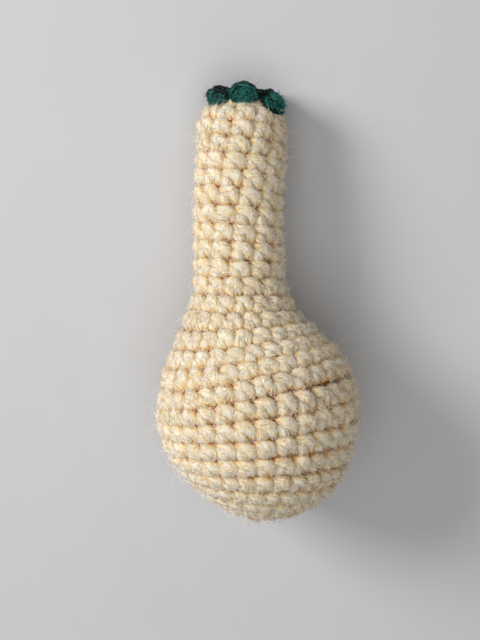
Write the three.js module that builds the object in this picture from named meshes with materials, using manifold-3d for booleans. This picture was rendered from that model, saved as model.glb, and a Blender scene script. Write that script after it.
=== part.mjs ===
// A crocheted crookneck-squash toy lying on its side: a hollow yarn cover, its fibre stuffing and a
// scalloped yarn calyx on the neck end. Millimetres, +Z up. The toy lies along Y with its neck end
// towards +Y, and the origin is the centre of its bounding box's bottom face.
import * as THREE from 'three';
import { mergeVertices } from 'three/addons/utils/BufferGeometryUtils.js';
import Module from 'manifold-3d';

// The body, measured along its axis from the base of the bulb.
const BODY_LENGTH = 124.5;
const BULB_RADIUS = 30;
const BULB_CENTRE = 33.5;
const SHOULDER_END = 73;
const NECK_RADIUS = 13.2;
const NECK_CORNER_RADIUS = 9;
const WALL = 4;
const STARTING_HOLE_RADIUS = 1.5;

// How the body lies: its axis falls towards the neck end, because the neck is the thinner end.
const AXIS_FALL = THREE.MathUtils.degToRad(10);
const BULB_HEIGHT = 28.8;

// The crook: [distance along the axis, sideways, outwards] of the points that the axis passes.
const AXIS_POINTS = [
  [0, 4.2, -2.6],
  [16, 4.3, -0.8],
  [BULB_CENTRE, 2.1, 0],
  [47, -0.9, 0],
  [60, -2.6, 0],
  [90, -3.5, -0.4],
  [110, -2.7, -1.6],
  [BODY_LENGTH, -2.1, -2.1],
  [BODY_LENGTH + 8, -2.0, -2.4],
];

// The calyx: a disc sewn on the neck end, with six lobes standing round its rim.
const CALYX_DISC_RADIUS = 8.5;
const CALYX_DISC_THICKNESS = 2.6;
const LOBE_HALF_WIDTH = 4.4;
const LOBE_HALF_DEPTH = 2.3;
const LOBE_HALF_HEIGHT = 3.2;

// Each lobe, round from the uppermost: how far it leans outwards in degrees, how high its foot stands
// above the neck end, and how far that is from the axis. The second lobe droops over the edge.
const LOBES = [[30, 2, 8], [120, 0.4, 9.6], [60, 2, 8], [45, 2, 8], [60, 2, 8], [66, 1.6, 8.4]];

const GAP = 0.3;
const SEGMENTS_ROUND = 28;
const BASE_STEPS = 9;
const SHOULDER_STEPS = 10;
const NECK_STEPS = 7;
const CORNER_STEPS = 5;

const YARN_CREAM = 0xe9dcae;
const FIBRE_WHITE = 0xf1efe8;
const YARN_GREEN = 0x14583c;

const wasm = await Module();
wasm.setup();

// The axis as a curve, in a frame whose bulb centre stands BULB_HEIGHT above the ground.
function axisPoint([along, sideways, outwards]) {
  const fromBulb = along - BULB_CENTRE;
  return new THREE.Vector3(
    sideways,
    fromBulb * Math.cos(AXIS_FALL) + outwards * Math.sin(AXIS_FALL),
    BULB_HEIGHT - fromBulb * Math.sin(AXIS_FALL) + outwards * Math.cos(AXIS_FALL),
  );
}

const axis = new THREE.CatmullRomCurve3(AXIS_POINTS.map(axisPoint));

// The curve's parameter at a distance along the axis, between the two points that surround it.
function axisParameter(along) {
  const last = AXIS_POINTS.length - 1;
  const clamped = THREE.MathUtils.clamp(along, 0, AXIS_POINTS[last][0]);
  const span = Math.min(AXIS_POINTS.findLastIndex((point) => point[0] <= clamped), last - 1);
  const [start, end] = [AXIS_POINTS[span][0], AXIS_POINTS[span + 1][0]];
  return (span + (clamped - start) / (end - start)) / last;
}

// Bends a solid made straight along +Y round the crooked axis.
function bend(geometry) {
  const position = geometry.attributes.position;
  const point = new THREE.Vector3();
  for (let i = 0; i < position.count; i += 1) {
    point.fromBufferAttribute(position, i);
    const parameter = axisParameter(point.y);
    const tangent = axis.getTangent(parameter);
    const across = new THREE.Vector3(1, 0, 0).addScaledVector(tangent, -tangent.x).normalize();
    const upward = new THREE.Vector3().crossVectors(across, tangent);
    const beyond = point.y - THREE.MathUtils.clamp(point.y, 0, AXIS_POINTS.at(-1)[0]);
    const bent = axis.getPoint(parameter).addScaledVector(tangent, beyond);
    bent.addScaledVector(across, point.x).addScaledVector(upward, point.z);
    position.setXYZ(i, bent.x, bent.y, bent.z);
  }
  return geometry;
}

// The outline of the body drawn inwards by an inset, as [radius, distance along the axis], from the
// base pole to the neck end's pole.
function bodyOutline(inset) {
  const outline = [];
  for (let step = 0; step < BASE_STEPS; step += 1) {
    const angle = (step / BASE_STEPS) * (Math.PI / 2);
    outline.push(new THREE.Vector2(
      (BULB_RADIUS - inset) * Math.sin(angle),
      BULB_CENTRE - (BULB_CENTRE - inset) * Math.cos(angle),
    ));
  }
  for (let step = 0; step < SHOULDER_STEPS; step += 1) {
    const share = step / SHOULDER_STEPS;
    const blend = (1 - Math.cos(share * Math.PI)) / 2;
    outline.push(new THREE.Vector2(
      THREE.MathUtils.lerp(BULB_RADIUS, NECK_RADIUS, blend) - inset,
      THREE.MathUtils.lerp(BULB_CENTRE, SHOULDER_END, share),
    ));
  }
  const cornerStart = BODY_LENGTH - NECK_CORNER_RADIUS;
  for (let step = 0; step < NECK_STEPS; step += 1) {
    const along = THREE.MathUtils.lerp(SHOULDER_END, cornerStart, step / NECK_STEPS);
    outline.push(new THREE.Vector2(NECK_RADIUS - inset, along));
  }
  const cornerRadius = NECK_CORNER_RADIUS - inset;
  for (let step = 0; step <= CORNER_STEPS; step += 1) {
    const angle = (step / CORNER_STEPS) * (Math.PI / 2);
    outline.push(new THREE.Vector2(
      NECK_RADIUS - NECK_CORNER_RADIUS + cornerRadius * Math.cos(angle),
      cornerStart + cornerRadius * Math.sin(angle),
    ));
  }
  outline.push(new THREE.Vector2(0, BODY_LENGTH - inset));
  return outline;
}

function toManifold(geometry) {
  geometry.deleteAttribute('normal');
  geometry.deleteAttribute('uv');
  const merged = mergeVertices(geometry, 1e-4);
  return new wasm.Manifold(new wasm.Mesh({
    numProp: 3,
    vertProperties: new Float32Array(merged.attributes.position.array),
    triVerts: new Uint32Array(merged.index.array),
  }));
}

function fromManifold(solid) {
  const { vertProperties, triVerts } = solid.getMesh();
  const geometry = new THREE.BufferGeometry();
  geometry.setAttribute('position', new THREE.BufferAttribute(vertProperties, 3));
  geometry.setIndex(new THREE.BufferAttribute(triVerts, 1));
  return geometry;
}

// The body drawn inwards by an inset, with a flat patch wherever it would pass below the ground.
function bodySolid(inset) {
  const whole = toManifold(bend(new THREE.LatheGeometry(bodyOutline(inset), SEGMENTS_ROUND)));
  return whole.trimByPlane([0, 0, 1], inset);
}

// The cover is one wall of yarn all round, open only at the small starting hole in the neck end.
function coverGeometry() {
  const hole = new THREE.CylinderGeometry(STARTING_HOLE_RADIUS, STARTING_HOLE_RADIUS, 4 * WALL, 10);
  hole.translate(0, BODY_LENGTH, 0);
  return fromManifold(bodySolid(0).subtract(bodySolid(WALL)).subtract(toManifold(bend(hole))));
}

// The stuffing fills the cover.
function stuffingGeometry() {
  return fromManifold(bodySolid(WALL + GAP));
}

// One lobe: a flattened ball that stands on the rim of the disc and leans outwards.
function lobeGeometry([flare, foot, ringRadius], index) {
  const lobe = new THREE.SphereGeometry(1, 12, 8);
  lobe.scale(LOBE_HALF_WIDTH, LOBE_HALF_HEIGHT, LOBE_HALF_DEPTH);
  lobe.translate(0, LOBE_HALF_HEIGHT * 0.45, 0);
  lobe.rotateX(THREE.MathUtils.degToRad(flare));
  lobe.translate(0, BODY_LENGTH + foot, ringRadius);
  lobe.rotateY((index / LOBES.length) * 2 * Math.PI);
  return lobe;
}

// The calyx rests on the neck end and, where its lobes reach down, on the ground.
function calyxGeometry() {
  const disc = new THREE.CylinderGeometry(
    CALYX_DISC_RADIUS, CALYX_DISC_RADIUS, CALYX_DISC_THICKNESS, SEGMENTS_ROUND,
  );
  disc.translate(0, BODY_LENGTH + GAP + CALYX_DISC_THICKNESS / 2, 0);
  let calyx = toManifold(bend(disc));
  for (const lobe of LOBES.map(lobeGeometry)) {
    calyx = calyx.add(toManifold(bend(lobe)));
  }
  return fromManifold(calyx.subtract(bodySolid(-GAP)).trimByPlane([0, 0, 1], 0));
}

function yarnMaterial(color) {
  return new THREE.MeshStandardMaterial({ color, roughness: 0.95, metalness: 0 });
}

function mesh(name, geometry, color) {
  const part = new THREE.Mesh(geometry, yarnMaterial(color));
  part.name = name;
  return part;
}

const toy = new THREE.Group();
toy.name = 'crocheted_squash_toy';
toy.add(mesh('crochet_cover', coverGeometry(), YARN_CREAM));
toy.add(mesh('fibre_stuffing', stuffingGeometry(), FIBRE_WHITE));
toy.add(mesh('calyx', calyxGeometry(), YARN_GREEN));

// The bounding box's bottom centre becomes the origin.
const box = new THREE.Box3().setFromObject(toy);
toy.position.set(-(box.min.x + box.max.x) / 2, -(box.min.y + box.max.y) / 2, -box.min.z);

export default toy;
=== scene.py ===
"""A crocheted crookneck-squash toy: each stitch of its cover, its stuffing, its calyx and its fuzz.

All sizes are in metres, unless a name ends in _MM or a comment says otherwise. The toy lies along Y
with its neck end towards +Y.
"""

import math
import random

import bmesh
import bpy
from bpy.props import FloatProperty, FloatVectorProperty, IntProperty, PointerProperty
from mathutils import Matrix, Vector


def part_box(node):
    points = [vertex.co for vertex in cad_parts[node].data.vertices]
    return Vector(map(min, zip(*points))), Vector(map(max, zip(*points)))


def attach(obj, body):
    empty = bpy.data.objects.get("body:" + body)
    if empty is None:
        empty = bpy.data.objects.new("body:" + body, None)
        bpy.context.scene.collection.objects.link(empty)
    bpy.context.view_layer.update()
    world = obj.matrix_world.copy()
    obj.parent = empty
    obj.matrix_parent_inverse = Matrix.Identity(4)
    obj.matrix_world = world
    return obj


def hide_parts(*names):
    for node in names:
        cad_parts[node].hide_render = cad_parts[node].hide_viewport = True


bl_info = {
    "name": "Crocheted Squash Toy",
    "version": (1, 0, 0),
    "blender": (4, 5, 0),
    "location": "3D View > Sidebar > Squash Toy",
    "description": "Builds a crocheted crookneck-squash toy stitch by stitch",
    "category": "Object",
}

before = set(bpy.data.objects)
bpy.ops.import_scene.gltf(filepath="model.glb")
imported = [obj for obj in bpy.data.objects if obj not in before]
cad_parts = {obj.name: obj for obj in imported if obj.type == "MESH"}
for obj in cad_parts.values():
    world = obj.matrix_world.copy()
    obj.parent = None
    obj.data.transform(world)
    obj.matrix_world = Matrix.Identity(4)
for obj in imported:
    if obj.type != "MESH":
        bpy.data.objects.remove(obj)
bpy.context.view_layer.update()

MM = 0.001

# The body, measured along its axis from the base of the bulb. The axis passes points of (distance
# along it, sideways, outwards), and falls towards the neck end.
BODY_LENGTH = 124.5 * MM
BULB_RADIUS = 30 * MM
BULB_CENTRE = 33.5 * MM
SHOULDER_END = 73 * MM
NECK_RADIUS = 13.2 * MM
NECK_CORNER_RADIUS = 9 * MM
AXIS_FALL = math.radians(10)
BULB_HEIGHT = 28.8 * MM
AXIS_POINTS_MM = (
    (0, 4.2, -2.6),
    (16, 4.3, -0.8),
    (33.5, 2.1, 0),
    (47, -0.9, 0),
    (60, -2.6, 0),
    (90, -3.5, -0.4),
    (110, -2.7, -1.6),
    (124.5, -2.1, -2.1),
    (132.5, -2.0, -2.4),
)

# The crochet pattern: the stitches of each round, from the starting ring to the closing one.
PATTERN = (6,) + (12,) * 11 + (14, 17, 20, 23, 26, 28) + (30,) * 6 + (27, 23, 19, 13, 7)

# How much of a stitch each round stops short of a full turn, so that the columns drift round.
DRIFT = 0.12

# The cover's pieces: each has a name, its first round and the round after its last.
SECTIONS = (
    ("neck_stitches", 0, 12),
    ("shoulder_stitches", 12, 18),
    ("bulb_stitches", 18, 23),
    ("base_stitches", 23, 29),
)


class ToySizes(bpy.types.PropertyGroup):
    """Sizes of the yarn and of the stitches."""

    yarn_radius: FloatProperty(
        name="Yarn radius", description="Half the thickness of the yarn at rest",
        default=1.6 * MM, min=0.2 * MM, max=4 * MM, subtype="DISTANCE",
    )
    ply_depth: FloatProperty(
        name="Ply depth", description="How far the plies stand out, as a share of the radius",
        default=0.025, min=0, max=0.3,
    )
    ply_pitch: FloatProperty(
        name="Ply pitch", description="Length of yarn in one full turn of its plies",
        default=14 * MM, min=2 * MM, max=50 * MM, subtype="DISTANCE",
    )
    crest_depth: FloatProperty(
        name="Crest depth", description="How far below the outline the cloth's middle surface lies",
        default=2.5 * MM, min=0, max=6 * MM, subtype="DISTANCE",
    )
    wobble: FloatProperty(
        name="Wobble", description="How far a stitch's points stray from the regular stitch",
        default=0.21 * MM, min=0, max=1 * MM, subtype="DISTANCE",
    )
    seed: IntProperty(name="Seed", description="Seed of every random choice", default=7)


class ToyColours(bpy.types.PropertyGroup):
    """Colours of the yarns and of the floor."""

    cream: FloatVectorProperty(
        name="Cream", description="Yarn of the body", subtype="COLOR", size=4,
        default=(0.89, 0.82, 0.69, 1), min=0, max=1,
    )
    # Painted shade: the cream yarn darkened on the sides of a stitch, where shade falls.
    cream_painted_half_shade: FloatVectorProperty(
        name="Middle cream", description="The same yarn on the sides of a stitch", subtype="COLOR",
        size=4, default=(0.81, 0.60, 0.28, 1), min=0, max=1,
    )
    # Painted shade: the cream yarn darker and warmer deep between the stitches, where shade falls.
    cream_painted_deep_shade: FloatVectorProperty(
        name="Deep cream", description="The same yarn deep between the stitches", subtype="COLOR",
        size=4, default=(0.52, 0.19, 0.035, 1), min=0, max=1,
    )
    cream_fibre: FloatVectorProperty(
        name="Cream fibre", description="The palest fibres of the cream yarn", subtype="COLOR",
        size=4, default=(0.98, 0.935, 0.85, 1), min=0, max=1,
    )
    dark_fibre: FloatVectorProperty(
        name="Dark fibre", description="The darkest fibres of the cream yarn", subtype="COLOR",
        size=4, default=(0.72, 0.44, 0.16, 1), min=0, max=1,
    )
    green: FloatVectorProperty(
        name="Green", description="Yarn of the calyx", subtype="COLOR", size=4,
        default=(0.006, 0.060, 0.042, 1), min=0, max=1,
    )
    # Painted shade: the green yarn darkened on its sides, where shade falls.
    green_painted_half_shade: FloatVectorProperty(
        name="Middle green", description="The same yarn on its shaded sides", subtype="COLOR",
        size=4, default=(0.002, 0.020, 0.013, 1), min=0, max=1,
    )
    # Painted shade: the green yarn darkened deep between its strands, where shade falls. The same
    # colour is also the darkest of the green fibres, whose tone differs at random.
    green_painted_deep_shade_and_dark_fibre: FloatVectorProperty(
        name="Deep green", description="The same yarn deep between its strands", subtype="COLOR",
        size=4, default=(0.001, 0.006, 0.004, 1), min=0, max=1,
    )
    green_sheen: FloatVectorProperty(
        name="Green sheen", description="The brightest fibres of the green yarn", subtype="COLOR",
        size=4, default=(0.06, 0.42, 0.37, 1), min=0, max=1,
    )
    floor: FloatVectorProperty(
        name="Floor", description="The pale surface that the toy lies on", subtype="COLOR", size=4,
        default=(0.6, 0.6, 0.61, 1), min=0, max=1,
    )


class FuzzSettings(bpy.types.PropertyGroup):
    """The loose fibres that stand out of the yarn."""

    count: IntProperty(
        name="Loose fibres", description="How many fibres stand out", default=7600, min=0, max=7700,
    )
    thickness: FloatProperty(
        name="Loose thickness", description="Radius of a loose fibre at its root",
        default=0.07 * MM, min=0.005 * MM, max=0.2 * MM, subtype="DISTANCE",
    )
    length: FloatProperty(
        name="Loose length", description="Length of a middling loose fibre",
        default=2.7 * MM, min=0.2 * MM, max=10 * MM, subtype="DISTANCE",
    )
    short_count: IntProperty(
        name="Short fibres", description="How many short fibres stray across the yarn in each mesh",
        default=13900, min=0, max=14000,
    )
    short_length: FloatProperty(
        name="Short length", description="Length of a middling short fibre",
        default=1.3 * MM, min=0.2 * MM, max=5 * MM, subtype="DISTANCE",
    )
    lying_count: IntProperty(
        name="Lying fibres", description="How many fibres lie along the cream yarn",
        default=9800, min=0, max=9900,
    )
    lying_thickness: FloatProperty(
        name="Lying thickness", description="Radius of a fibre that lies along the yarn",
        default=0.075 * MM, min=0.005 * MM, max=0.3 * MM, subtype="DISTANCE",
    )


class CalyxSettings(bpy.types.PropertyGroup):
    """The green calyx on the neck end."""

    disc_radius: FloatProperty(
        name="Disc radius", description="Radius of the spiral disc that the scallops stand on",
        default=8 * MM, min=1 * MM, max=20 * MM, subtype="DISTANCE",
    )
    yarn_radius: FloatProperty(
        name="Yarn radius", description="Half the thickness of the green yarn",
        default=1.24 * MM, min=0.2 * MM, max=3 * MM, subtype="DISTANCE",
    )
    height: FloatProperty(
        name="Height", description="Height of a scallop, as a share of its drawn height",
        default=0.82, min=0.2, max=2,
    )


class StageSettings(bpy.types.PropertyGroup):
    """The floor, the lights and the camera."""

    camera_distance: FloatProperty(
        name="Camera distance", description="From the camera to the middle of the picture",
        default=0.5, min=0.1, max=5, subtype="DISTANCE",
    )
    camera_lean: FloatProperty(
        name="Camera lean", description="How far the camera leans from upright to the neck's side",
        default=math.radians(12), subtype="ANGLE",
    )
    lens: FloatProperty(
        name="Lens", description="Focal length", default=93.75, subtype="DISTANCE_CAMERA",
    )


# ---- The shape that the stitches follow ----


def smooth_table(points, at):
    """The values beside `at` in rows of (place, value, value), joined by smooth curves."""
    last = len(points) - 2
    span = max(0, min(last, sum(point[0] <= at for point in points) - 1))
    start, end = points[span], points[span + 1]
    before, after = points[max(span - 1, 0)], points[min(span + 2, last + 1)]
    share = (at - start[0]) / (end[0] - start[0])
    width = end[0] - start[0]
    values = []
    for k in (1, 2):
        slope_in = (end[k] - before[k]) / (end[0] - before[0]) * width
        slope_out = (after[k] - start[k]) / (after[0] - start[0]) * width
        s2, s3 = share * share, share ** 3
        values.append(
            (2 * s3 - 3 * s2 + 1) * start[k] + (s3 - 2 * s2 + share) * slope_in
            + (3 * s2 - 2 * s3) * end[k] + (s3 - s2) * slope_out
        )
    return values


class Body:
    """The toy's outline as a surface: a place on it is a length down it, an angle and a lift."""

    def __init__(self):
        self.middle = Vector((0, 0, 0))
        self.rows = self.measure()
        self.length = self.rows[-1][0]
        # The middle of the outline's box comes over the middle of the cover's box.
        low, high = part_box("crochet_cover")
        skin = [
            self.place(self.length * row / 90, math.pi * column / 20, 0)[0]
            for row in range(91) for column in range(40)
        ]
        for axis in (0, 1):
            places = [point[axis] for point in skin]
            self.middle[axis] = (low[axis] + high[axis] - min(places) - max(places)) / 2

    def centre(self, along):
        """The axis at a distance along it."""
        sideways, outwards = smooth_table(AXIS_POINTS_MM, along / MM)
        from_bulb = along - BULB_CENTRE
        return self.middle + Vector((
            sideways * MM,
            from_bulb * math.cos(AXIS_FALL) + outwards * MM * math.sin(AXIS_FALL),
            BULB_HEIGHT - from_bulb * math.sin(AXIS_FALL) + outwards * MM * math.cos(AXIS_FALL),
        ))

    def frame_at(self, along):
        """The axis's middle, its direction, and the directions across it and up from it."""
        step = 0.5 * MM
        tangent = (self.centre(along + step) - self.centre(along - step)).normalized()
        across = (Vector((1, 0, 0)) - tangent * tangent.x).normalized()
        return self.centre(along), tangent, across, across.cross(tangent)

    def measure(self):
        """Rows of (length down the outline, radius, distance along the axis), neck pole first."""
        corner = BODY_LENGTH - NECK_CORNER_RADIUS
        flat = NECK_RADIUS - NECK_CORNER_RADIUS
        outline = [(flat * i / 20, BODY_LENGTH) for i in range(20)]
        for i in range(20):
            angle = math.pi / 2 * i / 20
            outline.append((
                flat + NECK_CORNER_RADIUS * math.sin(angle),
                corner + NECK_CORNER_RADIUS * math.cos(angle),
            ))
        outline += [(NECK_RADIUS, corner - (corner - SHOULDER_END) * i / 30) for i in range(30)]
        for i in range(60):
            blend = (1 + math.cos(math.pi * i / 60)) / 2
            outline.append((
                NECK_RADIUS * blend + BULB_RADIUS * (1 - blend),
                SHOULDER_END - (SHOULDER_END - BULB_CENTRE) * i / 60,
            ))
        for i in range(81):
            angle = math.pi / 2 * i / 80
            outline.append((BULB_RADIUS * math.cos(angle), BULB_CENTRE * (1 - math.sin(angle))))
        rows = [(0, *outline[0])]
        for before, after in zip(outline, outline[1:]):
            rows.append((rows[-1][0] + math.dist(before, after), *after))
        return rows

    def outline_at(self, down):
        """The radius and the distance along the axis at a length down the outline."""
        down = min(max(down, 0), self.length)
        low, high = 0, len(self.rows) - 1
        while high - low > 1:
            middle = (low + high) // 2
            if self.rows[middle][0] <= down:
                low = middle
            else:
                high = middle
        start, end = self.rows[low], self.rows[high]
        share = (down - start[0]) / (end[0] - start[0])
        return start[1] + (end[1] - start[1]) * share, start[2] + (end[2] - start[2]) * share

    def place(self, down, angle, lift):
        """A point at a lift above the outline, and the direction out of the toy there.

        A length past a pole comes out on the pole's other side.
        """
        if down < 0 or down > self.length:
            down = -down if down < 0 else 2 * self.length - down
            angle += math.pi
        step = 1.0 * MM
        radius, along = self.outline_at(down)
        r0, a0 = self.outline_at(down - step)
        r1, a1 = self.outline_at(down + step)
        out_r, out_a = a0 - a1, r1 - r0
        size = math.hypot(out_r, out_a) or 1
        out_r, out_a = out_r / size, out_a / size
        centre, tangent, across, upward = self.frame_at(along + lift * out_a)
        around = across * math.sin(angle) + upward * math.cos(angle)
        point = centre + around * (radius + lift * out_r)
        return point, (around * out_r + tangent * out_a).normalized()


_body = []


def toy_body():
    """The one Body, made when it is first wanted."""
    if not _body:
        _body.append(Body())
    return _body[0]


def settle(point, clearance):
    """Presses a point up so that it stays clear of the ground, with a soft start."""
    soft = 0.8 * MM
    height = point.z - clearance
    if height < soft:
        point = point.copy()
        point.z = clearance + soft * math.exp(min(height / soft, 1) - 1)
    return point


# ---- Yarn ----

# One single crochet, as points of (share of its width, share of its height, lift in mm, radius
# factor). The long leg crosses the stitch, the short leg stands beside it, and the loop lies
# along the top, behind the next round.
LONG_LEG = (
    (-0.02, 0.14, -2.6, 0.74),
    (0.08, 0.26, -0.5, 1.02),
    (0.28, 0.31, 0.70, 1.22),
    (0.54, 0.38, 0.95, 1.36),
    (0.75, 0.56, 0.80, 1.34),
    (0.82, 0.82, 0.20, 1.18),
    (0.85, 1.03, -2.3, 0.80),
)
SHORT_LEG = (
    (0.06, 0.36, -2.4, 0.74),
    (0.10, 0.52, -0.1, 1.08),
    (0.22, 0.70, 0.75, 1.32),
    (0.36, 0.85, 0.35, 1.24),
    (0.42, 1.03, -2.2, 0.80),
)
TOP_LOOP = (
    (-0.15, 0.96, -1.35, 0.90),
    (0.15, 0.98, -0.75, 0.98),
    (0.60, 1.02, -0.65, 0.98),
    (0.95, 1.00, -0.95, 0.96),
    (1.18, 0.98, -1.7, 0.86),
)

# Each strand of a stitch with the steps that its curve is drawn in.
STRANDS = ((LONG_LEG, 11), (SHORT_LEG, 8), (TOP_LOOP, 4))
SIDES = 8
PLIES = 4

# The stuffing's colour is painted shade: brown like the shade between the stitches, though the real
# stuffing is white.
STUFFING_PAINTED_SHADE = (0.50, 0.26, 0.08, 1)

# The turn between one strand's plies and the next one's, in radians, so that no two look alike.
GOLDEN_ANGLE = 2.399963

# Vertices closer than this are one vertex, which joins a strand's end caps to it.
WELD_DISTANCE = 0.0001 * MM

# One scallop of the calyx, in mm: each arch as points of (aside, up, out), and its yarn's size.
LOBE_ARCHES_MM = (
    (((-2.7, -2.6, -0.6), (-3.1, 0.4, -0.1), (-2.3, 2.9, 0.1), (0.1, 4.1, 0.2), (2.4, 2.8, 0.1),
      (3.1, 0.2, -0.1), (2.6, -2.8, -0.6)), 1.0),
    (((-2.2, -2.6, -2.0), (-2.4, 0.6, -1.9), (-1.1, 2.5, -1.7), (1.2, 2.4, -1.7), (2.4, 0.4, -1.9),
      (2.1, -2.6, -2.0)), 0.95),
    (((-2.5, -1.6, 0.9), (-1.7, 0.6, 1.5), (-0.2, 2.2, 1.7), (1.5, 2.2, 1.4), (2.5, 0.9, 1.0),
      (2.6, -1.2, 0.3)), 0.92),
    (((-0.9, -2.8, 1.0), (-0.5, -0.6, 1.9), (0.4, 0.7, 2.1), (1.3, -0.1, 1.8), (1.5, -2.6, 0.9)),
     0.9),
)

# Each scallop, round from the uppermost: how far it leans outwards in degrees, how high its foot
# stands above the neck end, and how far that is from the axis, in mm. The second one droops.
LOBES = (
    (30, 0.7, 7.8), (138, -1.2, 9.9), (60, 0.9, 7.8),
    (45, 0.9, 7.8), (60, 0.9, 7.8), (64, 0.3, 7.8),
)

# The tail of yarn at the base, in mm: the points of (sideways, up, out) that it passes.
TAIL_MM = (
    (0.0, -3.5, -2.0),
    (-0.6, -1.0, 0.3),
    (-1.9, 0.6, 0.9),
    (-3.4, 1.0, 0.7),
    (-4.6, 0.6, -0.2),
)
TAIL_STEPS = 16


def catmull(points, share):
    """The point at a share of the way along a smooth curve through the points."""
    last = len(points) - 1
    place = min(max(share, 0), 1) * last
    span = min(int(place), last - 1)
    t = place - span
    p0, p1 = points[max(span - 1, 0)], points[span]
    p2, p3 = points[span + 1], points[min(span + 2, last)]
    return [
        0.5 * (2 * b + (c - a) * t + (2 * a - 5 * b + 4 * c - d) * t * t
               + (3 * b - a - 3 * c + d) * t ** 3)
        for a, b, c, d in zip(p0, p1, p2, p3)
    ]


def add_object(name, data):
    """A new object in the scene."""
    made = bpy.data.objects.new(name, data)
    bpy.context.scene.collection.objects.link(made)
    return made


def weld(mesh):
    """Joins the vertices of a mesh that lie in one place."""
    shape = bmesh.new()
    shape.from_mesh(mesh)
    bmesh.ops.remove_doubles(shape, verts=shape.verts, dist=WELD_DISTANCE)
    shape.to_mesh(mesh)
    shape.free()


def yarn_profile(name, radius, ply_depth, sides=SIDES):
    """The lobed outline of a plied yarn, as a closed flat curve to bevel with."""
    curve = bpy.data.curves.new(name, "CURVE")
    curve.dimensions = "2D"
    spline = curve.splines.new("POLY")
    spline.points.add(sides - 1)
    for i, point in enumerate(spline.points):
        angle = 2 * math.pi * i / sides
        size = radius * (1 + ply_depth * math.cos(PLIES * angle))
        point.co = (size * math.cos(angle), size * math.sin(angle), 0, 1)
    spline.use_cyclic_u = True
    return add_object(name, curve)


def yarn_piece(name, strands, profile, pitch, material):
    """Makes one mesh of many strands. A strand is a list of (point, outward, lift, factor)."""
    curve = bpy.data.curves.new(name, "CURVE")
    curve.dimensions = "3D"
    curve.bevel_mode = "OBJECT"
    curve.bevel_object = profile
    curve.use_fill_caps = True
    curve.twist_mode = "MINIMUM"
    for index, strand in enumerate(strands):
        spline = curve.splines.new("POLY")
        spline.points.add(len(strand) - 1)
        run = index * GOLDEN_ANGLE
        for k, (point, _, _, factor) in enumerate(strand):
            if k:
                run += (point - strand[k - 1][0]).length / pitch * 2 * math.pi
            spline.points[k].co = (*point, 1)
            spline.points[k].radius = factor
            spline.points[k].tilt = run
    holder = add_object(name + "_curve", curve)
    bpy.context.view_layer.update()
    evaluated = holder.evaluated_get(bpy.context.evaluated_depsgraph_get())
    mesh = bpy.data.meshes.new_from_object(evaluated)
    mesh.name = name
    piece = add_object(name, mesh)
    bpy.data.objects.remove(holder)
    bpy.data.curves.remove(curve)
    mesh.materials.clear()
    mesh.materials.append(material)
    for polygon in mesh.polygons:
        polygon.use_smooth = len(polygon.vertices) == 4
    return piece


def mark_yarn(piece, strands, sides, rng):
    """Gives each vertex its lift above the cloth and each corner its place on the yarn.

    A bevelled curve's mesh holds the end caps first and then the rings, strand by strand. The
    attribute named lift is in mm. The map named strand is (mm along the yarn, share of the way
    round it), and OFBake lays the strands out side by side, with a margin round each.
    """
    mesh = piece.data
    cap_lift, margin = -3.0, 0.03
    values = [cap_lift] * (2 * sides * len(strands))
    for strand in strands:
        for point, outward, height, _ in strand:
            for _ in range(sides):
                vertex = mesh.vertices[len(values)]
                values.append((height + (vertex.co - point).dot(outward)) / MM)
    if len(values) != len(mesh.vertices):
        raise RuntimeError(f"{piece.name} has {len(mesh.vertices)} vertices, not {len(values)}")
    mesh.attributes.new("lift", "FLOAT", "POINT").data.foreach_set("value", values)
    share = [0.0] * (2 * len(mesh.loops))
    mesh.uv_layers[0].data.foreach_get("uv", share)
    run, laid = [0.0] * len(share), [0.0] * len(share)
    corner = 2 * sum(len(polygon.vertices) == 3 for polygon in mesh.polygons) * 3
    columns = math.ceil(math.sqrt(len(strands)))
    cell = 1 / columns
    for index, strand in enumerate(strands):
        length = sum((b[0] - a[0]).length for a, b in zip(strand, strand[1:])) / MM
        offset = rng.uniform(0, 500)
        left, low = index % columns * cell, index // columns * cell
        for _ in range(4 * sides * (len(strand) - 1)):
            along, around = share[corner], share[corner + 1]
            run[corner], run[corner + 1] = offset + along * length, around
            laid[corner] = left + cell * (margin + (1 - 2 * margin) * along)
            laid[corner + 1] = low + cell * (margin + (1 - 2 * margin) * around)
            corner += 2
    mesh.uv_layers[0].name = "strand"
    mesh.uv_layers["strand"].data.foreach_set("uv", run)
    mesh.uv_layers.new(name="OFBake").data.foreach_set("uv", laid)
    weld(mesh)


# The strands made so far, for the fuzz to stand on.
made_strands = {"cream": [], "green": []}


def stitch_layout():
    """Yields each stitch as (round, start angle, end angle, length down, row height)."""
    # The rounds of the bulb are a little taller than those of the neck, and a little is left over
    # at each pole.
    weights = [0.9 + 0.1 * min(max(count - 14, 0) / 18, 1) for count in PATTERN]
    unit = toy_body().length / (sum(weights) + 0.15)
    angle, down = 0.0, unit * 0.1
    for number, count in enumerate(PATTERN):
        width = 2 * math.pi / (count + DRIFT)
        height = unit * weights[number]
        for _ in range(count):
            yield number, angle, angle + width, down, height
            angle += width
            down += height / (count + DRIFT)


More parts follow.
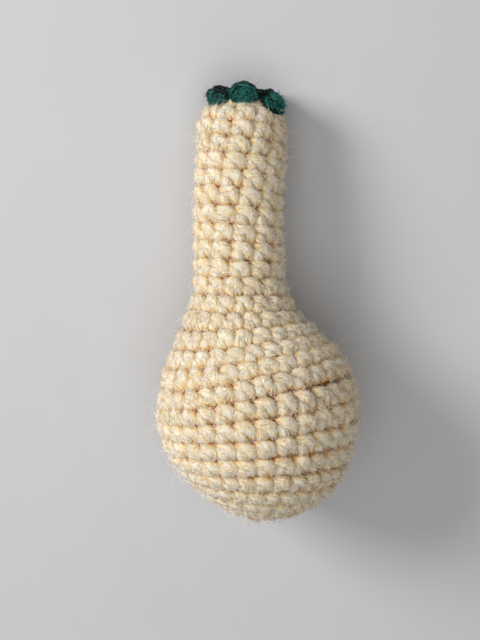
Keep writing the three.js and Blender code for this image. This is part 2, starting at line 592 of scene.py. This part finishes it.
def stitch_strands(stitch, sizes, rng):
    """The strands of one stitch, as lists of (point, outward, lift, radius factor)."""
    body = toy_body()
    _, start, end, down, height = stitch
    made = []
    for points, steps in STRANDS:
        jitter = [
            tuple(rng.gauss(0, sizes.wobble * share) for share in (1, 1, 0.7)) for _ in points
        ]
        strand = []
        for k in range(steps + 1):
            share, rise, lift, factor = catmull(points, k / steps)
            shift = catmull(jitter, k / steps)
            radius = max(body.outline_at(down + rise * height)[0], 2 * MM)
            place_down = down + rise * height + shift[1]
            angle = start + share * (end - start) + shift[0] / radius
            height_out = lift * MM + shift[2] - sizes.crest_depth
            point, outward = body.place(place_down, angle, height_out)
            # On the flattened underside, the deeper yarn stays above the crests.
            clearance = sizes.yarn_radius * factor + (1.2 - lift) * 0.5 * MM
            strand.append((settle(point, clearance), outward, lift * MM, factor))
        made.append(strand)
    return made


# ---- Materials ----


def node(tree, kind, x, y, **values):
    """A new node at a place in the tree, with its settings."""
    made = tree.nodes.new(kind)
    made.location = (x, y)
    for name, value in values.items():
        setattr(made, name, value)
    return made


def set_inputs(made, values):
    """Sets the inputs of a node by their names."""
    for name, value in values.items():
        made.inputs[name].default_value = value


def fibre_pattern(tree, x, y, twist):
    """Fine fibres that wind round the yarn by `twist` radians a mm, as a value from 0 to 1."""
    link = tree.links.new
    place = node(tree, "ShaderNodeUVMap", x, y, uv_map="strand")
    parts = node(tree, "ShaderNodeSeparateXYZ", x + 180, y)
    link(place.outputs["UV"], parts.inputs["Vector"])
    wind = node(tree, "ShaderNodeMath", x + 360, y - 160, operation="MULTIPLY")
    wind.inputs[1].default_value = twist
    link(parts.outputs["X"], wind.inputs[0])
    turn = node(tree, "ShaderNodeMath", x + 540, y, operation="MULTIPLY_ADD")
    turn.inputs[1].default_value = 2 * math.pi
    link(parts.outputs["Y"], turn.inputs[0])
    link(wind.outputs[0], turn.inputs[2])
    across = node(tree, "ShaderNodeCombineXYZ", x + 900, y)
    for row, operation in enumerate(("COSINE", "SINE")):
        wave = node(tree, "ShaderNodeMath", x + 720, y - 160 * row, operation=operation)
        link(turn.outputs[0], wave.inputs[0])
        link(wave.outputs[0], across.inputs[row])
    slow = node(tree, "ShaderNodeMath", x + 720, y - 320, operation="MULTIPLY")
    slow.inputs[1].default_value = 0.09
    link(parts.outputs["X"], slow.inputs[0])
    link(slow.outputs[0], across.inputs[2])
    fibres = node(tree, "ShaderNodeTexNoise", x + 1080, y)
    set_inputs(fibres, {"Scale": 4.2, "Detail": 2, "Roughness": 0.6})
    link(across.outputs["Vector"], fibres.inputs["Vector"])
    return fibres.outputs["Fac"]


def tufts(tree, x, y):
    """Tufts of fibres that wind one way in one place and the other way in the next."""
    link = tree.links.new
    coordinates = node(tree, "ShaderNodeTexCoord", x + 720, y + 320)
    patches = node(tree, "ShaderNodeTexNoise", x + 900, y + 320)
    set_inputs(patches, {"Scale": 330, "Detail": 1})
    link(coordinates.outputs["Object"], patches.inputs["Vector"])
    choice = node(tree, "ShaderNodeMapRange", x + 1080, y + 320)
    set_inputs(choice, {"From Min": 0.46, "From Max": 0.54})
    link(patches.outputs["Fac"], choice.inputs["Value"])
    either = node(tree, "ShaderNodeMix", x + 1300, y)
    link(choice.outputs["Result"], either.inputs["Factor"])
    for row, (socket, twist) in enumerate((("A", 0.5), ("B", -0.4))):
        link(fibre_pattern(tree, x, y - 600 * row, twist), either.inputs[socket])
    return either.outputs["Result"]


def new_material(name, inputs):
    """A new material with its shader's inputs set. Returns it, its tree and its shader."""
    material = bpy.data.materials.new(name)
    material.use_nodes = True
    shader = material.node_tree.nodes["Principled BSDF"]
    set_inputs(shader, inputs)
    return material, material.node_tree, shader


def yarn_material(name, light, middle, deep, low, high, subsurface=0):
    """Fuzzy plied yarn: tufts of fibres on it, and painted shade that makes it darker and warmer
    deep between the stitches.

    It is `deep` up to a lift of `low` mm and lightest from a lift of `high` mm.
    """
    material, tree, shader = new_material(name, {
        "Roughness": 0.95,
        "Sheen Weight": 0.1,
        "Sheen Roughness": 0.4,
        "Specular IOR Level": 0.15,
        "Subsurface Weight": subsurface,
        "Subsurface Radius": (1.0, 0.45, 0.15),
        "Subsurface Scale": 1.5 * MM,
    })
    link = tree.links.new
    fibres = tufts(tree, -2600, -200)
    # Painted shade: the lower a point lies below the crests, the darker and warmer its colour, as
    # shade falls between the stitches.
    depth = node(tree, "ShaderNodeAttribute", -1300, 300, attribute_name="lift")
    rise = node(tree, "ShaderNodeMapRange", -1050, 300)
    set_inputs(rise, {"From Min": low, "From Max": high, "To Max": 0.78})
    link(depth.outputs["Fac"], rise.inputs["Value"])
    spread = node(tree, "ShaderNodeMapRange", -1050, 0)
    set_inputs(spread, {"From Min": 0.34, "From Max": 0.64, "To Min": -0.32, "To Max": 0.30})
    link(fibres, spread.inputs["Value"])
    both = node(tree, "ShaderNodeMath", -900, 200, operation="ADD")
    link(rise.outputs["Result"], both.inputs[0])
    link(spread.outputs["Result"], both.inputs[1])
    ramp = node(tree, "ShaderNodeValToRGB", -700, 300)
    ramp.color_ramp.elements[0].color = deep
    ramp.color_ramp.elements[0].position = 0.06
    ramp.color_ramp.elements[1].color = light
    ramp.color_ramp.elements[1].position = 0.95
    ramp.color_ramp.elements.new(0.5).color = middle
    link(both.outputs[0], ramp.inputs["Fac"])
    link(ramp.outputs["Color"], shader.inputs["Base Color"])
    bump = node(tree, "ShaderNodeBump", -300, -200)
    set_inputs(bump, {"Strength": 1.0, "Distance": 0.6 * MM})
    link(fibres, bump.inputs["Height"])
    link(bump.outputs["Normal"], shader.inputs["Normal"])
    return material


def plain_material(name, colour, roughness):
    """A matt surface with a faint unevenness."""
    material, tree, shader = new_material(name, {"Roughness": roughness})
    coordinates = node(tree, "ShaderNodeTexCoord", -900, 0)
    noise = node(tree, "ShaderNodeTexNoise", -700, 0)
    set_inputs(noise, {"Scale": 40})
    tree.links.new(coordinates.outputs["Object"], noise.inputs["Vector"])
    ramp = node(tree, "ShaderNodeValToRGB", -450, 0)
    ramp.color_ramp.elements[0].color = [0.96 * part for part in colour[:3]] + [1]
    ramp.color_ramp.elements[1].color = colour
    tree.links.new(noise.outputs["Fac"], ramp.inputs["Fac"])
    tree.links.new(ramp.outputs["Color"], shader.inputs["Base Color"])
    return material


def fibre_material(name, dark, light, palest):
    """Fine fibres, from the darkest to the palest, which starts at a shade of `palest`."""
    material, tree, shader = new_material(name, {"Roughness": 0.8, "Specular IOR Level": 0.3})
    shade = node(tree, "ShaderNodeAttribute", -700, 0, attribute_name="shade")
    ramp = node(tree, "ShaderNodeValToRGB", -450, 0)
    ramp.color_ramp.elements[0].color = dark
    ramp.color_ramp.elements[1].color = light
    ramp.color_ramp.elements[1].position = palest
    tree.links.new(shade.outputs["Fac"], ramp.inputs["Fac"])
    tree.links.new(ramp.outputs["Color"], shader.inputs["Base Color"])
    return material


# ---- The pieces, and the operators that make them ----


class TOY_OT_cover(bpy.types.Operator):
    """Crochets the cover, round by round, in four sections"""

    bl_idname = "toy.cover"
    bl_label = "Crochet the cover"

    def execute(self, context):
        sizes = context.scene.toy_sizes
        colours = context.scene.toy_colours
        rng = random.Random(sizes.seed)
        material = yarn_material(
            "cream_yarn", colours.cream, colours.cream_painted_half_shade, colours.cream_painted_deep_shade,
            low=0.5, high=2.6, subsurface=0.2,
        )
        profile = yarn_profile("cream_yarn_profile", sizes.yarn_radius, sizes.ply_depth)
        stitches = list(stitch_layout())
        for name, first, last in SECTIONS:
            strands = []
            for stitch in stitches:
                if first <= stitch[0] < last:
                    strands += stitch_strands(stitch, sizes, rng)
            made_strands["cream"] += strands
            piece = yarn_piece(name, strands, profile, sizes.ply_pitch, material)
            mark_yarn(piece, strands, SIDES, rng)
            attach(piece, "root")
            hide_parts("crochet_cover")
        bpy.data.objects.remove(profile)
        return {"FINISHED"}


class TOY_OT_stuffing(bpy.types.Operator):
    """Fills the cover, so that no light shows between the stitches"""

    bl_idname = "toy.stuffing"
    bl_label = "Stuff the toy"

    def execute(self, context):
        body = toy_body()
        mesh = bpy.data.meshes.new("stuffing")
        shape = bmesh.new()
        bmesh.ops.create_uvsphere(shape, u_segments=48, v_segments=60, radius=1)
        lift, clearance = -3.8 * MM, 2.6 * MM
        for vertex in shape.verts:
            down = math.acos(max(-1, min(1, vertex.co.z))) / math.pi * body.length
            angle = math.atan2(vertex.co.x, vertex.co.y)
            point, _ = body.place(down, angle, lift)
            vertex.co = settle(point, clearance)
        bmesh.ops.recalc_face_normals(shape, faces=shape.faces)
        shape.to_mesh(mesh)
        shape.free()
        piece = add_object("stuffing", mesh)
        for polygon in mesh.polygons:
            polygon.use_smooth = True
        # Painted shade: the stuffing is coloured brown so that the gaps between the stitches look
        # shaded.
        mesh.materials.append(plain_material("stuffing_painted_shade", STUFFING_PAINTED_SHADE, 0.95))
        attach(piece, "root")
        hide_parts("fibre_stuffing")
        return {"FINISHED"}


def disc_strand(calyx):
    """The calyx's disc: one strand wound outwards from its middle, flat on the neck end."""
    centre, tangent, across, upward = toy_body().frame_at(BODY_LENGTH)
    turns = (calyx.disc_radius / (2 * calyx.yarn_radius)) * 1.05
    steps = 110
    strand = []
    for k in range(steps + 1):
        share = k / steps
        radius = 1.2 * MM + (calyx.disc_radius - 0.2 * MM) * share
        angle = share * 2 * math.pi * turns
        around = across * math.sin(angle) + upward * math.cos(angle)
        point = centre + tangent * (1.7 * MM) + around * radius
        strand.append((settle(point, calyx.yarn_radius), tangent, 0.0, 1.0))
    return strand


def lobe_strands(index, calyx):
    """The yarn of one scallop of the calyx, which is a fan of arches over one another."""
    centre, tangent, across, upward = toy_body().frame_at(BODY_LENGTH)
    lean, foot, ring_radius = LOBES[index]
    angle = index * 2 * math.pi / len(LOBES)
    radial = across * math.sin(angle) + upward * math.cos(angle)
    sideways = across * math.cos(angle) - upward * math.sin(angle)
    flare = math.radians(lean)
    rising = tangent * math.cos(flare) + radial * math.sin(flare)
    facing = radial * math.cos(flare) - tangent * math.sin(flare)
    if lean > 90:
        facing.negate()
    root = centre + (tangent * foot + radial * ring_radius) * MM
    strands = []
    for points, size in LOBE_ARCHES_MM:
        strand = []
        steps = 4 * (len(points) - 1)
        for k in range(steps + 1):
            aside, up, out = catmull(points, k / steps)
            reach = sideways * aside + rising * up * calyx.height + facing * out
            point = settle(root + reach * MM, calyx.yarn_radius * size)
            strand.append((point, facing, (out - 0.6) * MM, size))
        strands.append(strand)
    return strands


class TOY_OT_calyx(bpy.types.Operator):
    """Crochets the green calyx: a small spiral disc with scallops round its rim"""

    bl_idname = "toy.calyx"
    bl_label = "Crochet the calyx"

    def execute(self, context):
        sizes = context.scene.toy_sizes
        colours = context.scene.toy_colours
        calyx = context.scene.toy_calyx
        rng = random.Random(sizes.seed + 1)
        material = yarn_material(
            "green_yarn", colours.green, colours.green_painted_half_shade, colours.green_painted_deep_shade_and_dark_fibre,
            low=-1.2, high=2.4,
        )
        profile = yarn_profile("green_yarn_profile", calyx.yarn_radius, sizes.ply_depth * 2)
        strands = [disc_strand(calyx)]
        for index in range(len(LOBES)):
            strands += lobe_strands(index, calyx)
        made_strands["green"] += strands
        piece = yarn_piece("calyx_yarn", strands, profile, sizes.ply_pitch * 0.7, material)
        mark_yarn(piece, strands, SIDES, rng)
        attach(piece, "root")
        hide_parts("calyx")
        bpy.data.objects.remove(profile)
        return {"FINISHED"}


def on_yarn(strand, k, lean, height):
    """A point on a strand's skin at ring k, leaning round from its outer side by an angle."""
    root, outward, _, factor = strand[k]
    yarn_way = (strand[min(k + 1, len(strand) - 1)][0] - strand[max(k - 1, 0)][0]).normalized()
    side = yarn_way.cross(outward).normalized()
    out = side.cross(yarn_way)
    away = out * math.cos(lean) + side * math.sin(lean)
    return root + away * height * factor, away, yarn_way


def scatter(rng):
    """A random vector about one unit long."""
    return Vector((rng.gauss(0, 0.58), rng.gauss(0, 0.58), rng.gauss(0, 0.58)))


def lying_fibre(rng, strand, yarn_radius):
    """A fibre that lies along a strand, a little proud of it, with its tips tucked in."""
    first = rng.randrange(1, len(strand) - 4)
    lean = rng.uniform(-1.2, 1.2)
    turn = rng.gauss(0.16, 0.26)
    points = []
    for step, proud in enumerate((0.90, 1.05, 1.06, 0.90)):
        point, away, _ = on_yarn(strand, first + step, lean + turn * step, yarn_radius * proud)
        points.append((settle(point, 0.2 * MM), away, 0.0, (0.45, 1, 1, 0.45)[step]))
    return points


def short_fibre(rng, strand, yarn_radius, length):
    """A short fibre that strays across a strand's skin."""
    start, away, yarn_way = on_yarn(
        strand, rng.randrange(1, len(strand) - 1), rng.uniform(-1.2, 1.2), yarn_radius * 0.93,
    )
    across = away.cross(yarn_way)
    turn = rng.gauss(0.3, 0.9)
    heading = yarn_way * math.cos(turn) + across * math.sin(turn)
    length *= rng.uniform(0.6, 1.4)
    points = []
    for share, rise, size in ((0, 0, 0.5), (0.5, 0.22, 1), (1, rng.uniform(-0.05, 0.45), 0.4)):
        point = start + (heading * share + away * rise) * length
        points.append((settle(point, 0.2 * MM), away, 0.0, size))
    return points


def loose_fibre(rng, strand, yarn_radius, length):
    """A bent, tapering fibre that stands out of a strand."""
    start, away, yarn_way = on_yarn(
        strand, rng.randrange(2, len(strand) - 2), rng.uniform(-1.3, 1.3), yarn_radius * 0.9,
    )
    outward = strand[len(strand) // 2][1]
    heading = (away * 0.7 + yarn_way * rng.uniform(-1.2, 1.2) + scatter(rng) * 0.6).normalized()
    bend = scatter(rng).cross(heading)
    length *= min(0.85 * math.exp(rng.gauss(0, 0.55)), 2.4)
    points = []
    for step in range(5):
        share = step / 4
        reach = heading * share + (bend * 0.8 - outward * 0.25) * share * share
        point = settle(start + reach * length, 0.3 * MM)
        points.append((point, outward, 0.0, 1 - 0.75 * share))
    return points


def fibre_piece(name, fibres, radius, material, node_name, rng):
    """One mesh of many fibres, each with three sides and a shade of its own."""
    profile = yarn_profile(name + "_profile", radius, 0, 3)
    piece = yarn_piece(name, fibres, profile, 1, material)
    bpy.data.objects.remove(profile)
    shades = [rng.random() for _ in fibres]
    values = [shade for shade in shades for _ in range(6)]
    for shade, fibre in zip(shades, fibres):
        values += [shade] * (3 * len(fibre))
    if len(values) != len(piece.data.vertices):
        raise RuntimeError(f"{name} has {len(piece.data.vertices)} vertices, not {len(values)}")
    piece.data.attributes.new("shade", "FLOAT", "POINT").data.foreach_set("value", values)
    weld(piece.data)
    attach(piece, "root")
    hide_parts(node_name)


class TOY_OT_tail(bpy.types.Operator):
    """Leaves the short tail of yarn where the last round is drawn closed"""

    bl_idname = "toy.tail"
    bl_label = "Leave the tail"

    def execute(self, context):
        sizes = context.scene.toy_sizes
        colours = context.scene.toy_colours
        rng = random.Random(sizes.seed + 3)
        centre, tangent, across, upward = toy_body().frame_at(0)
        strand = []
        for k in range(TAIL_STEPS + 1):
            share = k / TAIL_STEPS
            aside, up, out = catmull(TAIL_MM, share)
            point = centre + (across * aside + upward * up - tangent * out) * MM
            point = settle(point, sizes.yarn_radius)
            strand.append((point, -tangent, out * MM, 0.62 - 0.2 * share))
        made_strands["cream"].append(strand)
        material = yarn_material(
            "tail_yarn", colours.cream, colours.cream_painted_half_shade, colours.cream_painted_deep_shade,
            low=-2.5, high=1.8,
        )
        profile = yarn_profile("tail_yarn_profile", sizes.yarn_radius, sizes.ply_depth)
        piece = yarn_piece("tail", [strand], profile, sizes.ply_pitch, material)
        mark_yarn(piece, [strand], SIDES, rng)
        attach(piece, "root")
        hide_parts("crochet_cover")
        bpy.data.objects.remove(profile)
        return {"FINISHED"}


class TOY_OT_fuzz(bpy.types.Operator):
    """Brushes the yarn up: fibres that lie along it and fibres that stand out of it"""

    bl_idname = "toy.fuzz"
    bl_label = "Fuzz the yarn"

    def execute(self, context):
        sizes = context.scene.toy_sizes
        fuzz = context.scene.toy_fuzz
        colours = context.scene.toy_colours
        calyx = context.scene.toy_calyx
        rng = random.Random(sizes.seed + 2)
        cream = fibre_material("cream_fibre", colours.dark_fibre, colours.cream_fibre, 0.45)
        green = fibre_material("green_fibre", colours.green_painted_deep_shade_and_dark_fibre, colours.green_sheen, 1)
        # The short top loops and the calyx's disc are hidden, so they bear no fibres.
        legs = [strand for strand in made_strands["cream"] if len(strand) > 7]
        green_legs = made_strands["green"][1:]
        fibres = [
            lying_fibre(rng, rng.choice(legs), sizes.yarn_radius) for _ in range(fuzz.lying_count)
        ]
        fibre_piece(
            "lying_fibres", fibres, fuzz.lying_thickness, cream, "crochet_cover", rng,
        )
        for side in ("a", "b", "c", "d"):
            fibres = [
                short_fibre(rng, rng.choice(legs), sizes.yarn_radius, fuzz.short_length)
                for _ in range(fuzz.short_count)
            ]
            fibre_piece(
                "short_fibres_" + side, fibres, fuzz.lying_thickness, cream, "crochet_cover",
                rng,
            )
        fibres = [
            loose_fibre(rng, rng.choice(legs), sizes.yarn_radius, fuzz.length)
            for _ in range(fuzz.count)
        ]
        fibre_piece(
            "loose_fibres", fibres, fuzz.thickness, cream, "crochet_cover", rng,
        )
        fibres = [
            lying_fibre(rng, rng.choice(green_legs), calyx.yarn_radius)
            for _ in range(fuzz.lying_count // 8)
        ] + [
            short_fibre(rng, rng.choice(green_legs), calyx.yarn_radius, fuzz.short_length)
            for _ in range(fuzz.short_count // 10)
        ] + [
            loose_fibre(rng, rng.choice(green_legs), calyx.yarn_radius, fuzz.length * 0.5)
            for _ in range(fuzz.count // 6)
        ]
        fibre_piece("calyx_fibres", fibres, fuzz.lying_thickness, green, "calyx", rng)
        return {"FINISHED"}


class TOY_OT_stage(bpy.types.Operator):
    """Lays the floor, hangs the lights and places the camera"""

    bl_idname = "toy.stage"
    bl_label = "Set the stage"

    def execute(self, context):
        floor_mesh = bpy.data.meshes.new("floor")
        shape = bmesh.new()
        bmesh.ops.create_grid(shape, x_segments=2, y_segments=2, size=2)
        shape.to_mesh(floor_mesh)
        shape.free()
        floor = add_object("floor", floor_mesh)
        colours = context.scene.toy_colours
        floor_mesh.materials.append(plain_material("floor_paint", colours.floor, 0.8))
        world = bpy.data.worlds.new("soft_room")
        context.scene.world = world
        context.scene.view_settings.view_transform = "Standard"
        world.use_nodes = True
        background = world.node_tree.nodes["Background"]
        set_inputs(background, {"Color": (1, 1, 1, 1), "Strength": 0.2})
        for name, place, size, power in (
            ("window", (-0.75, 0.4, 0.6), 0.4, 8.6),
            ("ceiling", (-0.05, -0.12, 1.28), 1.2, 6.8),
        ):
            light = bpy.data.lights.new(name, "AREA")
            light.size = size
            light.energy = power
            lamp = add_object(name, light)
            lamp.location = place
            lamp.rotation_euler = (-Vector(place)).to_track_quat("-Z", "Y").to_euler()
        self.place_camera(context, context.scene.toy_stage)
        return {"FINISHED"}

    def place_camera(self, context, settings):
        """Puts the camera over the toy, at right angles to its axis."""
        lean = settings.camera_lean
        outward = Vector((0, math.sin(lean), math.cos(lean)))
        picture_up = Vector((0, math.cos(lean), -math.sin(lean)))
        bulb = toy_body().centre(BULB_CENTRE)
        target = bulb + Vector((-5.15 * MM, 0, 0)) + picture_up * 25.5 * MM
        camera_data = bpy.data.cameras.new("camera")
        camera_data.lens = settings.lens
        camera = add_object("camera", camera_data)
        right = picture_up.cross(outward)
        turn = Matrix((right, picture_up, outward)).transposed().to_4x4()
        place = Matrix.Translation(target + outward * settings.camera_distance)
        camera.matrix_world = place @ turn
        context.scene.camera = camera


class TOY_PT_panel(bpy.types.Panel):
    """Lists the toy's settings and the steps that make it"""

    bl_idname = "TOY_PT_panel"
    bl_label = "Squash Toy"
    bl_space_type = "VIEW_3D"
    bl_region_type = "UI"
    bl_category = "Squash Toy"

    def draw(self, context):
        layout = self.layout
        scene = context.scene
        for setting in SETTINGS:
            column = layout.column(align=True)
            group = getattr(scene, setting)
            for name in group.__annotations__:
                column.prop(group, name)
        for operator in STEPS:
            layout.operator(operator.bl_idname)


STEPS = (TOY_OT_stuffing, TOY_OT_cover, TOY_OT_tail, TOY_OT_calyx, TOY_OT_fuzz, TOY_OT_stage)
SETTINGS = {
    "toy_sizes": ToySizes,
    "toy_colours": ToyColours,
    "toy_calyx": CalyxSettings,
    "toy_fuzz": FuzzSettings,
    "toy_stage": StageSettings,
}
CLASSES = (*SETTINGS.values(), *STEPS, TOY_PT_panel)


def register():
    for cls in CLASSES:
        bpy.utils.register_class(cls)
    for setting, group in SETTINGS.items():
        setattr(bpy.types.Scene, setting, PointerProperty(type=group))


def unregister():
    for setting in SETTINGS:
        delattr(bpy.types.Scene, setting)
    for cls in reversed(CLASSES):
        bpy.utils.unregister_class(cls)


def main():
    register()
    bpy.ops.toy.stuffing()
    bpy.ops.toy.cover()
    bpy.ops.toy.tail()
    bpy.ops.toy.calyx()
    bpy.ops.toy.fuzz()
    bpy.ops.toy.stage()


if __name__ == "__main__":
    main()
